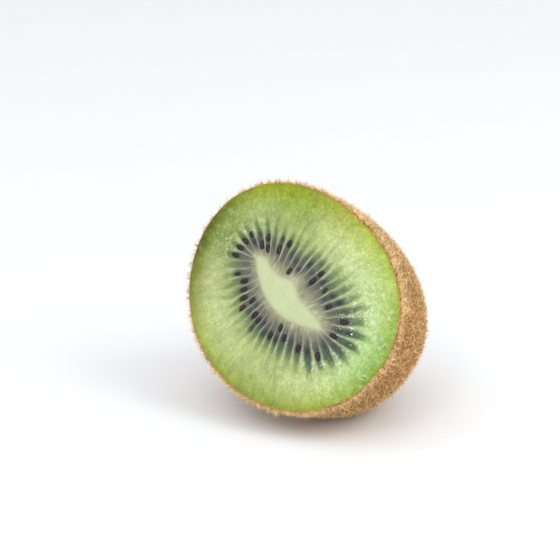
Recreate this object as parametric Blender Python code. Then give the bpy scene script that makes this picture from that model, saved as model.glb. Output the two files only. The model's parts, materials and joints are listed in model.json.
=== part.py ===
"""Half a kiwi fruit, cut across its middle, standing on its skin with the cut face to the front.

Both pieces are made with the cut face in the plane z = 0 and +Z pointing out of it. An empty then
leans them back and sets them down on the flat spot where the fruit rests.
"""

import math

import bmesh
import bpy
import numpy as np
from mathutils import Matrix

# Driving sizes, in metres and degrees
CUT_LONG = 0.0538
CUT_SHORT = 0.0458
DEPTH = 0.035
WIDEST_BEHIND_CUT = 0.003
LEAN_BACK = 26.8
OVAL_TURN = -30.5
FLAT_SPOT_DEEP = 0.0008
CORE_LONG = 0.0232
CORE_TURN = -33.5
CORE_CENTRE = (-0.0009, 0.0006)
CORE_DEEP = 0.024
CORE_GAP = 0.0003

# The dome of skin: its radius falls as (1 - t ** DOME_POWER) ** (1 / DOME_ROOT)
DOME_POWER = 2.5
DOME_ROOT = 2.1
SKIN_RINGS = 19

# Waves of the cut's outline: how many around, share of the radius, where the first crest is
RIM_WAVES = ((3, 0.015, 102.0), (4, 0.005, -141.0))
# Broad unevenness of the skin: waves around, waves from cut to end, share of the radius
SKIN_WAVES = ((2, 1.5, 0.006), (3, 2.0, 0.005), (5, 3.0, 0.003))

# The core's outline: a belly below and three soft humps above (place along it, width, height)
CORE_BELLY = 0.0045
CORE_SHOULDER = 0.0013
CORE_HUMPS = ((-0.0010, 0.0026, 0.00145), (-0.0096, 0.0019, 0.0010), (0.0092, 0.0022, 0.0003))
CORE_TAPER = 0.45
CORE_RISE = 0.0002

# The seed chambers round the core, which crowd together along its sides
CHAMBERS = 43
CHAMBER_START = -1.9
CHAMBER_CROWDING = 1.47
CHAMBER_SHIFT = 3.5
CHAMBER_SHIFT_FROM = 51.0
CHAMBER_SUNK = 0.00035
# Where a chamber is sunk, as shares of the way from the core to the rim
CHAMBER_FADES = (0.04, 0.14, 0.38, 0.62)
FACE_SHARES = (0.985, 0.94, 0.82, 0.68, 0.56, 0.45, 0.35, 0.26, 0.18, 0.1, 0.04)
RIM_ROUNDED = 0.0004

# The seeds that show: a word for each chamber and a letter for each seed, a nearest the core
SEEDS = ". e . i . e . g . ei . . . a . j f . ch d j i i j . h e f g di . f f . . g b e . g . j ."
SEED_ROW_A = 0.08
SEED_ROW_STEP = 0.03
SEED_LENGTH = 0.0019
SEED_WIDTH = 0.00100
SEED_HEIGHT = 0.0008
SEED_UNEVEN = 0.15
SEED_RANDOM = 7

# The dried stub in the middle of the round end: share of its radius, height over the skin
STUB_RADIUS = 0.0034
STUB_PROFILE = ((1.0, 0.0), (0.93, 0.0006), (0.7, 0.0011), (0.35, 0.0010), (0.0, 0.0007))


def clear_scene():
    for thing in list(bpy.data.objects):
        bpy.data.objects.remove(thing, do_unlink=True)


def make_material(name, colour, roughness):
    material = bpy.data.materials.new(name)
    material.use_nodes = True
    shader = material.node_tree.nodes["Principled BSDF"]
    shader.inputs["Base Color"].default_value = (*colour, 1.0)
    shader.inputs["Roughness"].default_value = roughness
    shader.inputs["Metallic"].default_value = 0.0
    return material


def turned(along, across, turn):
    """Points given along and across an axis that is turned by this many degrees, as x and y."""
    cosine, sine = math.cos(math.radians(turn)), math.sin(math.radians(turn))
    return np.stack([along * cosine - across * sine, along * sine + across * cosine], -1)


def rim_outline(angle):
    """The cut's outline, an oval with slight waves, at these angles from its long way."""
    radius = 1.0
    for count, share, crest in RIM_WAVES:
        radius = radius + share * np.cos(count * angle - math.radians(crest))
    along = CUT_LONG / 2 * radius * np.cos(angle)
    across = CUT_SHORT / 2 * radius * np.sin(angle)
    return turned(along, across, OVAL_TURN)


def core_outline(angle):
    """The core's outline at these angles: a smooth belly on one side, humps on the other."""
    along = CORE_LONG / 2 * np.cos(angle)
    rise = np.sqrt(np.abs(np.sin(angle)))
    humps = CORE_SHOULDER
    for place, width, height in CORE_HUMPS:
        humps = humps + height * np.exp(-(((along - place) / width) ** 2))
    belly = -CORE_BELLY * rise**4.2 - 0.00015 * rise
    across = np.where(np.sin(angle) >= 0, rise * humps, belly)
    return turned(along, across, CORE_TURN) + np.array(CORE_CENTRE)


def chamber_angle(number):
    """The angle of a chamber's middle line, or with half numbers of the wall between two."""
    even = np.radians(CHAMBER_START + 360 * number / CHAMBERS)
    crowded = np.arctan2(CHAMBER_CROWDING * np.sin(even), np.cos(even))
    shift = math.radians(CHAMBER_SHIFT) * np.cos(crowded + math.radians(CHAMBER_SHIFT_FROM))
    return crowded - shift


def smooth_step(low, high, value):
    share = np.clip((value - low) / (high - low), 0, 1)
    return share * share * (3 - 2 * share)


def grown(outline, amount):
    """A closed outline moved outwards by this much."""
    tangent = np.roll(outline, -1, axis=0) - np.roll(outline, 1, axis=0)
    outward = np.stack([tangent[:, 1], -tangent[:, 0]], -1)
    return outline + amount * outward / np.linalg.norm(outward, axis=1, keepdims=True)


def ring_at(outline, height):
    return np.column_stack([outline, np.broadcast_to(height, len(outline))])


def column_numbers():
    """Two columns for each chamber: one down its middle and one on the wall beside it."""
    return np.arange(2 * CHAMBERS) / 2


def face_height(share, numbers):
    """The cut face's height: chambers sunk a little, the rim rounded over."""
    rise_from, rise_to, fall_from, fall_to = CHAMBER_FADES
    window = smooth_step(rise_from, rise_to, share) * (1 - smooth_step(fall_from, fall_to, share))
    in_chamber = 1 - np.abs(2 * (numbers % 1)) ** 2
    return -CHAMBER_SUNK * window * in_chamber - RIM_ROUNDED * smooth_step(0.93, 1.0, share)


def skin_rings(angles):
    """Rings of the skin from the rim to the stub at the round end."""
    reach = DEPTH - WIDEST_BEHIND_CUT
    first = -math.asin(WIDEST_BEHIND_CUT / reach)
    at_cut = (1 - abs(math.sin(first)) ** DOME_POWER) ** (1 / DOME_ROOT)
    rim = rim_outline(angles)
    rings = []
    for slope in np.linspace(first, math.pi / 2, SKIN_RINGS)[:-1]:
        depth = WIDEST_BEHIND_CUT + reach * math.sin(slope)
        share = (1 - abs(math.sin(slope)) ** DOME_POWER) ** (1 / DOME_ROOT) / at_cut
        fade = smooth_step(0.0, 0.4, depth / DEPTH)
        waves = 1.0
        for around, down, amount in SKIN_WAVES:
            waves = waves + fade * amount * np.sin(around * angles + down * math.pi * depth / DEPTH)
        low = max(depth, RIM_ROUNDED)
        rings.append(ring_at(rim * share * np.reshape(waves, (-1, 1)), -low))
    return rings


def stub_rings(angles):
    """Rings of the low dried stub, all but its middle point."""
    round_ring = turned(np.cos(angles), np.sin(angles), OVAL_TURN)
    base = -DEPTH + 0.0002
    return [ring_at(STUB_RADIUS * share * round_ring, base - high) for share, high in STUB_PROFILE[:-1]]


def face_rings(angles, numbers, pocket):
    """Rings of the cut face from the rim inwards to the edge of the core's pocket."""
    rim = rim_outline(angles)
    rings = []
    for share in FACE_SHARES:
        outline = (1 - share) * pocket + share * rim
        rings.append(ring_at(outline, face_height(share, numbers)))
    return rings


def core_rings(outline, top, deep):
    """Rings down the side of the core or of its pocket, which narrow towards the bottom."""
    middle = outline.mean(axis=0)
    rings = []
    for down in np.linspace(0, 1, 5):
        size = 1 - CORE_TAPER * down**2
        rings.append(ring_at(middle + size * (outline - middle), top + down * (-deep - top)))
    return rings


def closed_mesh(name, rings, first_point, last_point):
    """A closed mesh of rings joined in order, with a point closing each end."""
    around = len(rings[0])
    mesh = bmesh.new()
    rows = [[mesh.verts.new(point) for point in ring] for ring in rings]
    for upper, lower in zip(rows, rows[1:]):
        for k in range(around):
            after = (k + 1) % around
            mesh.faces.new((upper[k], upper[after], lower[after], lower[k]))
    for row, point in ((rows[0], first_point), (rows[-1], last_point)):
        tip = mesh.verts.new(point)
        for k in range(around):
            mesh.faces.new((row[k], row[(k + 1) % around], tip))
    bmesh.ops.recalc_face_normals(mesh, faces=mesh.faces)
    data = bpy.data.meshes.new(name)
    mesh.to_mesh(data)
    mesh.free()
    return data


def add_object(name, data, material):
    thing = bpy.data.objects.new(name, data)
    thing.data.materials.append(material)
    bpy.context.scene.collection.objects.link(thing)
    return thing


def make_flesh(material):
    """The flesh with the skin as its outer surface, and a pocket for the core."""
    numbers = column_numbers()
    angles = chamber_angle(numbers)
    pocket = grown(core_outline(angles), CORE_GAP)
    stub = stub_rings(angles)
    skin = skin_rings(angles)
    face = face_rings(angles, numbers, pocket)
    walls = core_rings(pocket, 0.0, CORE_DEEP + CORE_GAP)
    rings = stub[::-1] + skin[::-1] + face + walls
    end = (0, 0, -DEPTH + 0.0002 - STUB_PROFILE[-1][1])
    floor = (*pocket.mean(axis=0), -CORE_DEEP - CORE_GAP)
    return add_object("flesh", closed_mesh("flesh", rings, end, floor), material)


def make_core(material):
    """The pale core, which runs from the cut face most of the way to the end."""
    outline = core_outline(chamber_angle(column_numbers()))
    rings = core_rings(outline, 0.0, CORE_DEEP)
    middle = outline.mean(axis=0)
    data = closed_mesh("core", rings, (*middle, CORE_RISE), (*middle, -CORE_DEEP))
    return add_object("core", data, material)


def seed_mesh(size):
    """A flattened drop, its long way along +X."""
    mesh = bmesh.new()
    bmesh.ops.create_uvsphere(mesh, u_segments=8, v_segments=5, radius=0.5)
    bmesh.ops.rotate(mesh, verts=mesh.verts, matrix=Matrix.Rotation(math.pi / 2, 3, "Y"))
    sides = (size * SEED_LENGTH, size * SEED_WIDTH, size * SEED_HEIGHT)
    bmesh.ops.scale(mesh, verts=mesh.verts, vec=sides)
    data = bpy.data.meshes.new("seed")
    mesh.to_mesh(data)
    mesh.free()
    return data


def make_seeds(material):
    """The seeds that show, each lying along its chamber, in a collection of their own."""
    seeds = bpy.data.collections.new("seeds")
    bpy.context.scene.collection.children.link(seeds)
    random = np.random.default_rng(SEED_RANDOM)
    for number, word in enumerate(SEEDS.split()):
        angle = chamber_angle(float(number))
        inner = core_outline(np.array([angle]))[0]
        outer = rim_outline(np.array([angle]))[0]
        for letter in word.strip("."):
            share = SEED_ROW_A + SEED_ROW_STEP * "abcdefghijk".index(letter)
            place = inner + share * (outer - inner)
            size = 1 + SEED_UNEVEN * random.uniform(-1, 1)
            seed = bpy.data.objects.new("seed", seed_mesh(size))
            seed.data.materials.append(material)
            seed.location = (*place, face_height(share, 0.0) + 0.0001)
            seed.rotation_euler.z = math.atan2(*(outer - inner)[::-1]) + random.uniform(-0.2, 0.2)
            seeds.objects.link(seed)
    return seeds


def fuse(body, additions):
    """Joins a collection of solids into the body for good, and removes the collection."""
    join = body.modifiers.new("fused", "BOOLEAN")
    join.operation = "UNION"
    join.operand_type = "COLLECTION"
    join.collection = additions
    join.solver = "EXACT"
    bpy.context.view_layer.update()
    evaluated = body.evaluated_get(bpy.context.evaluated_depsgraph_get())
    fused = bpy.data.meshes.new_from_object(evaluated)
    body.modifiers.remove(join)
    body.data = fused
    for thing in list(additions.objects):
        bpy.data.objects.remove(thing, do_unlink=True)
    bpy.data.collections.remove(additions)


def set_down(pieces):
    """Leans the pieces back under one empty and centres them over the flat spot's level."""
    tilt = math.radians(90 - LEAN_BACK)
    points = np.array([vertex.co for vertex in pieces[0].data.vertices])
    level = points[:, 1] * math.sin(tilt) + points[:, 2] * math.cos(tilt)
    forward = points[:, 1] * math.cos(tilt) - points[:, 2] * math.sin(tilt)
    stand = bpy.data.objects.new("stand", None)
    bpy.context.scene.collection.objects.link(stand)
    stand.rotation_euler.x = tilt
    stand.location.x = -(points[:, 0].max() + points[:, 0].min()) / 2
    stand.location.y = -(forward.max() + forward.min()) / 2
    stand.location.z = -level.min() - FLAT_SPOT_DEEP
    for piece in pieces:
        piece.parent = stand


def add_ground_cut(piece):
    """Cuts the piece off level at z = 0, which leaves the small flat spot that it rests on."""
    mesh = bmesh.new()
    bmesh.ops.create_cube(mesh, size=4 * DEPTH)
    data = bpy.data.meshes.new("ground")
    mesh.to_mesh(data)
    mesh.free()
    ground = bpy.data.objects.new("ground", data)
    ground.location.z = -2 * DEPTH
    ground.hide_render = True
    ground.display_type = "WIRE"
    bpy.context.scene.collection.objects.link(ground)
    cut = piece.modifiers.new("flat spot", "BOOLEAN")
    cut.operation = "DIFFERENCE"
    cut.solver = "EXACT"
    cut.object = ground


def main():
    clear_scene()
    flesh = make_flesh(make_material("green_flesh", (0.46, 0.58, 0.16), 0.35))
    core = make_core(make_material("pale_core", (0.66, 0.72, 0.42), 0.4))
    fuse(flesh, make_seeds(flesh.data.materials[0]))
    for piece in (flesh, core):
        piece.data.shade_smooth()
        piece.data.set_sharp_from_angle(angle=math.radians(35))
    set_down([flesh, core])
    add_ground_cut(flesh)


main()
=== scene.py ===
"""The look of the kiwi fruit half: cut face, core, seeds, skin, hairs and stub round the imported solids.

Every piece is worked out in the half's own axes, with the cut face in the plane z = 0 and +Z out
of it, and is then leaned back and set down as the solids are. Sizes are in metres, and the named
angles in degrees.
"""

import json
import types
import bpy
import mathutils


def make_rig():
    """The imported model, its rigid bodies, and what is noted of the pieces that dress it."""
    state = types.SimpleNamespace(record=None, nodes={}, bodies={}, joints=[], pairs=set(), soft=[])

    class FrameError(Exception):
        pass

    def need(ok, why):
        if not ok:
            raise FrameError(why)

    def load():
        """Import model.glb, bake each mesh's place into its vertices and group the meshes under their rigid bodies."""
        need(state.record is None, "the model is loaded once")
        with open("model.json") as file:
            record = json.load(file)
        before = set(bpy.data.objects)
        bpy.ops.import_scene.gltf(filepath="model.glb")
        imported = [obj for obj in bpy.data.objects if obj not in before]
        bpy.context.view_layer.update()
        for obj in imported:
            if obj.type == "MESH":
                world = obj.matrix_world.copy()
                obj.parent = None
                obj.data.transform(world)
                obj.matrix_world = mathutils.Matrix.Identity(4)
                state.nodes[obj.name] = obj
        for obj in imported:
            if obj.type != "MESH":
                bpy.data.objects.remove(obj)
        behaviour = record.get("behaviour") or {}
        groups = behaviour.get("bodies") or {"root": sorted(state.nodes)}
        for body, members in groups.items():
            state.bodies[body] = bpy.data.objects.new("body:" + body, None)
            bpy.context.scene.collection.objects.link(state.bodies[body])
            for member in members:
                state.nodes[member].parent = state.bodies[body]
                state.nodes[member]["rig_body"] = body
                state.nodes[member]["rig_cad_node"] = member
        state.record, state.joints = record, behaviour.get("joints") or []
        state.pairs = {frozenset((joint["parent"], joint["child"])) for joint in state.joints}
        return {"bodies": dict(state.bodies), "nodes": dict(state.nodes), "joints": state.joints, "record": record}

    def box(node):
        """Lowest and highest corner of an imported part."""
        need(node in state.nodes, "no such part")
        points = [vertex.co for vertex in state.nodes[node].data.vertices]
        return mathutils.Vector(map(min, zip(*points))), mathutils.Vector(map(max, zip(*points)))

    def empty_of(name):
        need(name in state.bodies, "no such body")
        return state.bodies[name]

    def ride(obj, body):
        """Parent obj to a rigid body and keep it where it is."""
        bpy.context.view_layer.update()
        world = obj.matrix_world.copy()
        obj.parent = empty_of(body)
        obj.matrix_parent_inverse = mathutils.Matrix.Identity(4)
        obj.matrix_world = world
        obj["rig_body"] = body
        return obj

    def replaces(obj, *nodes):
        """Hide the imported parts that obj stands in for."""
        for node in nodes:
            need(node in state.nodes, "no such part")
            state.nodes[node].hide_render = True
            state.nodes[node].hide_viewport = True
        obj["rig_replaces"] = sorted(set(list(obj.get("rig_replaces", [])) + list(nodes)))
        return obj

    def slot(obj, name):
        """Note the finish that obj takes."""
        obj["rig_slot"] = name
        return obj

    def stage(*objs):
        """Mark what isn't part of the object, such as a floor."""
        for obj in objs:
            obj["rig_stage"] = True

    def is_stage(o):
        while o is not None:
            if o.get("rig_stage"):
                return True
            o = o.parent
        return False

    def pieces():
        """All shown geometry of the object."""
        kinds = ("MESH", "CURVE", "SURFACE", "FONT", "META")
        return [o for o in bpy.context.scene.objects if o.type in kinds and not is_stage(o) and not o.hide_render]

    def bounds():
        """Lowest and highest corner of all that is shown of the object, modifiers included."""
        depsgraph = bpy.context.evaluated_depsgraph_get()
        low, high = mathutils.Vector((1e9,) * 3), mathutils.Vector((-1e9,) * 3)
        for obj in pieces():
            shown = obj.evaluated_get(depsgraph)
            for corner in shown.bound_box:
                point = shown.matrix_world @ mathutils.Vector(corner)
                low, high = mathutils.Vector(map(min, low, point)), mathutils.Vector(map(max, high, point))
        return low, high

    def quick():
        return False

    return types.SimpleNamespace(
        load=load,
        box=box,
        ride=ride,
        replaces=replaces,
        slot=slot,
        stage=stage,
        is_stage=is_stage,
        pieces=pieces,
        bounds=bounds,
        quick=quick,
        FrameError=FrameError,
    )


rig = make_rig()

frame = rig.load()

import itertools
import json
import math

import bpy
import numpy as np
from mathutils import Vector

CAD_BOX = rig.bounds()

# Driving sizes, the same as the solids'
CUT_LONG = 0.0538
CUT_SHORT = 0.0458
DEPTH = 0.035
WIDEST_BEHIND_CUT = 0.003
LEAN_BACK = 26.8
OVAL_TURN = -30.5
CORE_LONG = 0.0232
CORE_TURN = -33.5
CORE_CENTRE = (-0.0009, 0.0006)
CORE_DEEP = 0.024
DOME_POWER = 2.5
DOME_ROOT = 2.1
RIM_WAVES = ((3, 0.015, 102.0), (4, 0.005, -141.0))
SKIN_WAVES = ((2, 1.5, 0.006), (3, 2.0, 0.005), (5, 3.0, 0.003))
CORE_BELLY = 0.0045
CORE_BELLY_LEAST = 0.00015
CORE_SHOULDER = 0.0013
CORE_HUMPS = ((-0.0010, 0.0026, 0.00145), (-0.0096, 0.0019, 0.0010), (0.0092, 0.0022, 0.0003))
CORE_TAPER = 0.45
CORE_RISE = 0.0002

# The seed chambers and their seeds, the same as the solids'
CHAMBERS = 43
CHAMBER_START = -1.9
CHAMBER_CROWDING = 1.47
CHAMBER_SHIFT = 3.5
CHAMBER_SHIFT_FROM = 51.0
CHAMBER_SUNK = 0.00035
CHAMBER_FADES = (0.04, 0.14, 0.38, 0.62)
RIM_ROUNDED = 0.0004
SEEDS = ". e . i . e . g . ei . . . a . j f . ch d j i i j . h e f g di . f f . . g b e . g . j ."
SEED_ROW_A = 0.08
SEED_ROW_STEP = 0.03
SEED_LENGTH = 0.0019
SEED_WIDTH = 0.00100
SEED_HEIGHT = 0.0008
SEED_UNEVEN = 0.15
SEED_RANDOM = 7

# Seeds that only shimmer through from just under the surface
SUNK_SEEDS = "h . gk . i i eh . h . fk g c e g . j . . i f . . . . . . . . . cg . j e h . g . e . h . f"

# The dried stub, with its height at shares of its radius, and the sepals round it
STUB_RADIUS = 0.0034
STUB_PROFILE = ((1.0, 0.0), (0.93, 0.0006), (0.7, 0.0011), (0.35, 0.0010), (0.0, 0.0007))
SEPAL_WIDTH = 0.0018
SEPAL_THICK = 0.00022

# Rings down the core's pocket, as shares of the core's depth, and how wide the core's edge shades
POCKET_DEPTHS = (0.6, 0.3, 0.1, 0.02)
CORE_EDGE_SOFT = 0.0013

# How far the walls between the chambers waver, as a share of a chamber
WANDER = 0.16

# Middle, extent and amount of each wet spot on the cut: low on the right, less at the upper left. They set the wet
# flesh's gloss and also where the painted sheen and painted glints go
WET_AND_SHEEN_SPOTS = (((0.0135, -0.0050), 0.0145, 1.0), ((-0.0150, 0.0100), 0.0090, 0.54))
BEAD_RADIUS = 0.00009

# Skin and hairs: thickness, last slopes of hairs and fringe, tufts, lean to the rim and gathering
SKIN_THICK = 0.00012
HAIRS_END = 84
FRINGE_END = -3.2
TUFT_SIZE = 0.0006
RIMWARD = 0.5
GATHER = 0.3

# Fineness of the visible meshes
COLUMNS_A_CHAMBER = 16
FACE_RINGS = 96
DOME_RINGS = 14
CORE_COLUMNS = 8
SKIN_COLUMNS = 6
SKIN_RINGS = 120
INSIDE_RINGS = 24
SEPAL_AROUND = 10
SEPAL_RINGS = 14

# Factors of the lattice's random numbers
LATTICE_FACTORS = (73856093, 19349663, 83492791)
SEED_FACTOR = 2654435761
MIXING_FACTOR = 1274126177

# Photograph: azimuth, elevation and distance of the camera, and where the cut's middle lies
VIEW_AZIMUTH = 29.7
VIEW_ELEVATION = 20.0
VIEW_DISTANCE = 0.6
PIXELS = 560
PIXELS_A_METRE = 4665.0
CUT_MIDDLE_PIXEL = (290.3, 297.0)

# Brightness of the pale sky, and half the width of the floor
SKY_LEVEL = 0.73
FLOOR_HALF = 3.0


def turned(along, across, turn):
    """Points given along and across an axis that is turned by this many degrees, as x and y."""
    cosine, sine = math.cos(math.radians(turn)), math.sin(math.radians(turn))
    return np.stack([along * cosine - across * sine, along * sine + across * cosine], -1)


def smooth_step(low, high, value):
    share = np.clip((value - low) / (high - low), 0, 1)
    return share * share * (3 - 2 * share)


def stretch(value, rise_from, rise_to, fall_from, fall_to):
    """1 on a stretch of values, with a smooth rise before it and a smooth fall after it."""
    return smooth_step(rise_from, rise_to, value) * (1 - smooth_step(fall_from, fall_to, value))


def rim_outline(angle):
    radius = 1.0
    for count, share, crest in RIM_WAVES:
        radius = radius + share * np.cos(count * angle - math.radians(crest))
    along = CUT_LONG / 2 * radius * np.cos(angle)
    across = CUT_SHORT / 2 * radius * np.sin(angle)
    return turned(along, across, OVAL_TURN)


def core_outline(angle):
    along = CORE_LONG / 2 * np.cos(angle)
    rise = np.sqrt(np.abs(np.sin(angle)))
    humps = CORE_SHOULDER
    for place, width, height in CORE_HUMPS:
        humps = humps + height * np.exp(-(((along - place) / width) ** 2))
    belly = -CORE_BELLY * rise**4.2 - CORE_BELLY_LEAST * rise
    across = np.where(np.sin(angle) >= 0, rise * humps, belly)
    return turned(along, across, CORE_TURN) + np.array(CORE_CENTRE)


def chamber_angle(number):
    even = np.radians(CHAMBER_START + 360 * number / CHAMBERS)
    crowded = np.arctan2(CHAMBER_CROWDING * np.sin(even), np.cos(even))
    shift = math.radians(CHAMBER_SHIFT) * np.cos(crowded + math.radians(CHAMBER_SHIFT_FROM))
    return crowded - shift


def hashed(cells, seed):
    """One random number from -1 to 1 for each cell of a lattice."""
    mixed = cells @ np.array(LATTICE_FACTORS)[: cells.shape[1]] + seed * SEED_FACTOR
    mixed = (mixed ^ (mixed >> 13)) * MIXING_FACTOR
    return ((mixed ^ (mixed >> 16)) & 0xFFFF) / 32767.5 - 1


def unevenness(points, cell, seed):
    """Smooth random values from -1 to 1 at these points, with one random value a cell."""
    where = points / cell
    base = np.floor(where).astype(np.int64)
    share = smooth_step(0, 1, where - base)
    total = np.zeros(len(points))
    for corner in itertools.product((0, 1), repeat=points.shape[1]):
        weight = np.prod(np.where(corner, share, 1 - share), axis=1)
        total += weight * hashed(base + np.array(corner), seed)
    return total


def skin_surface(slopes, angles):
    """Points of the skin's outside, by slope from the rim's to 90 degrees at the end, and angle."""
    reach = DEPTH - WIDEST_BEHIND_CUT
    first = first_slope()
    at_cut = (1 - abs(math.sin(first)) ** DOME_POWER) ** (1 / DOME_ROOT)
    depth = WIDEST_BEHIND_CUT + reach * np.sin(slopes)
    share = np.maximum(1 - np.abs(np.sin(slopes)) ** DOME_POWER, 0) ** (1 / DOME_ROOT) / at_cut
    fade = smooth_step(0.0, 0.4, depth / DEPTH)
    waves = 1.0
    for around, down, amount in SKIN_WAVES:
        waves = waves + fade * amount * np.sin(around * angles + down * math.pi * depth / DEPTH)
    outline = rim_outline(angles) * (share * waves)[..., None]
    return np.concatenate([outline, -np.maximum(depth, RIM_ROUNDED)[..., None]], -1)


def first_slope():
    return -math.asin(WIDEST_BEHIND_CUT / (DEPTH - WIDEST_BEHIND_CUT))


def standing_matrix():
    tilt = math.radians(90 - LEAN_BACK)
    cosine, sine = math.cos(tilt), math.sin(tilt)
    return np.array([[1, 0, 0], [0, cosine, -sine], [0, sine, cosine]])


def standing_place():
    """Where the cut's middle is, from the flesh solid's box."""
    slopes = np.linspace(first_slope(), math.pi / 2, 90)
    angles = np.linspace(0, 2 * math.pi, 360)
    leaned = skin_surface(*np.meshgrid(slopes, angles)).reshape(-1, 3) @ standing_matrix().T
    low, high = (np.array(corner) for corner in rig.box("flesh"))
    place = (low + high - leaned.min(0) - leaned.max(0)) / 2
    place[2] = high[2] - leaned[:, 2].max()
    return place


STAND = standing_matrix()
PLACE = standing_place()


def stood(points, lowest=0.0):
    """Points leaned back and set down, none of them lower than this level."""
    placed = points @ STAND.T + PLACE
    placed[:, 2] = np.maximum(placed[:, 2], lowest)
    return placed


def new_piece(name, points, groups, marks, material, slot):
    """A smooth mesh piece from points and groups of faces with equal numbers of corners."""
    sizes = np.concatenate([np.full(len(group), group.shape[1]) for group in groups])
    corners = np.concatenate([group.ravel() for group in groups])
    mesh = bpy.data.meshes.new(name)
    mesh.vertices.add(len(points))
    mesh.vertices.foreach_set("co", points.astype(np.float32).ravel())
    mesh.loops.add(len(corners))
    mesh.loops.foreach_set("vertex_index", corners.astype(np.int32))
    mesh.polygons.add(len(sizes))
    mesh.polygons.foreach_set("loop_start", (np.cumsum(sizes) - sizes).astype(np.int32))
    mesh.update(calc_edges=True)
    mesh.polygons.foreach_set("use_smooth", np.ones(len(sizes), dtype=bool))
    for mark, values in marks.items():
        kind, field = ("FLOAT_VECTOR", "vector") if values.ndim == 2 else ("FLOAT", "value")
        made = mesh.attributes.new(mark, kind, "POINT")
        made.data.foreach_set(field, values.astype(np.float32).ravel())
    mesh.materials.append(material)
    piece = bpy.data.objects.new(name, mesh)
    bpy.context.scene.collection.objects.link(piece)
    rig.ride(piece, "root")
    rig.slot(piece, slot)
    return piece


def loft_faces(rings, around):
    """Faces of rings joined in order, with one point before the first and one after the last."""
    here = np.arange(around)
    after = (here + 1) % around
    starts = 1 + around * np.arange(rings - 1)[:, None]
    corners = [starts + here, starts + around + here, starts + around + after, starts + after]
    quads = np.stack(corners, -1)
    last = 1 + around * (rings - 1)
    first_fan = np.stack([np.zeros(around, int), 1 + here, 1 + after], -1)
    last_fan = np.stack([last + here, np.full(around, last + around), last + after], -1)
    return [quads.reshape(-1, 4), first_fan, last_fan]


def lofted(first, rings, last):
    """Points and faces of a first point, rings joined in order and a last point."""
    return np.vstack([[first], *rings, [last]]), loft_faces(len(rings), len(rings[0]))


def full_turn(count):
    """This many angles spread evenly all the way round."""
    return np.linspace(0, 2 * math.pi, count, endpoint=False)


class Flow:
    """A number or a colour on its way through a material's nodes."""

    def __init__(self, paint, socket):
        self.paint = paint
        self.socket = socket

    def __add__(self, other):
        return self.paint.math("ADD", self, other)

    def __sub__(self, other):
        return self.paint.math("SUBTRACT", self, other)

    def __rsub__(self, other):
        return self.paint.math("SUBTRACT", other, self)

    def __mul__(self, other):
        return self.paint.math("MULTIPLY", self, other)

    __radd__ = __add__
    __rmul__ = __mul__

    def between(self, low, high):
        """0 up to low, 1 from high on, and a smooth rise between them."""
        sockets = {"Value": self, "From Min": low, "From Max": high}
        return self.paint.node("ShaderNodeMapRange", {"interpolation_type": "SMOOTHSTEP"}, sockets)


class Paint:
    """A material in the making: its nodes, and the Principled shader that they feed."""

    def __init__(self, name):
        self.material = bpy.data.materials.new(name)
        self.material.use_nodes = True
        self.tree = self.material.node_tree
        self.shader = self.tree.nodes["Principled BSDF"]

    def node(self, kind, settings, inputs, output=0):
        """Adds a node, sets it up, fills or links its sockets, and gives one of its outputs."""
        made = self.tree.nodes.new(kind)
        for name, value in settings.items():
            if name == "stops":
                self.set_stops(made.color_ramp, value)
            else:
                setattr(made, name, value)
        for socket, value in inputs.items():
            self.feed(made.inputs[socket], value)
        return Flow(self, made.outputs[output])

    def set_stops(self, ramp, stops):
        while len(ramp.elements) < len(stops):
            ramp.elements.new(1.0)
        for element, (position, colour) in zip(ramp.elements, stops):
            element.position = position
            element.color = (*colour, 1.0)

    def feed(self, socket, value):
        if isinstance(value, Flow):
            self.tree.links.new(value.socket, socket)
        elif socket.type == "RGBA":
            socket.default_value = (*value, 1.0)
        else:
            socket.default_value = value

    def math(self, operation, first, second):
        return self.node("ShaderNodeMath", {"operation": operation}, {0: first, 1: second})

    def mix(self, first, second, share):
        settings = {"data_type": "RGBA", "clamp_factor": True}
        return self.node("ShaderNodeMix", settings, {0: share, 6: first, 7: second}, 2)

    def times(self, colour, tint):
        return self.node("ShaderNodeVectorMath", {"operation": "MULTIPLY"}, {0: colour, 1: tint})

    def scaled(self, colour, amount):
        return self.node("ShaderNodeVectorMath", {"operation": "SCALE"}, {0: colour, "Scale": amount})

    def ramp(self, value, stops):
        return self.node("ShaderNodeValToRGB", {"stops": stops}, {0: value})

    def mark(self, name, output="Fac"):
        return self.node("ShaderNodeAttribute", {"attribute_name": name}, {}, output)

    def place(self):
        return self.node("ShaderNodeTexCoord", {}, {}, "Object")

    def noise(self, where, cell, detail=3.0, roughness=0.55):
        """Noise from 0 to 1 with blobs of about this size in the units of where."""
        inputs = {"Vector": where, "Scale": 1 / cell, "Detail": detail, "Roughness": roughness}
        return self.node("ShaderNodeTexNoise", {}, inputs)

    def bump(self, height, distance, strength):
        inputs = {"Height": height, "Distance": distance, "Strength": strength}
        return self.node("ShaderNodeBump", {}, inputs)

    def finish(self, **sockets):
        """Feeds the shader's sockets, whose names have _ for each space, and gives the material."""
        for name, value in sockets.items():
            self.feed(self.shader.inputs[name.replace("_", " ")], value)
        return self.material


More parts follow.
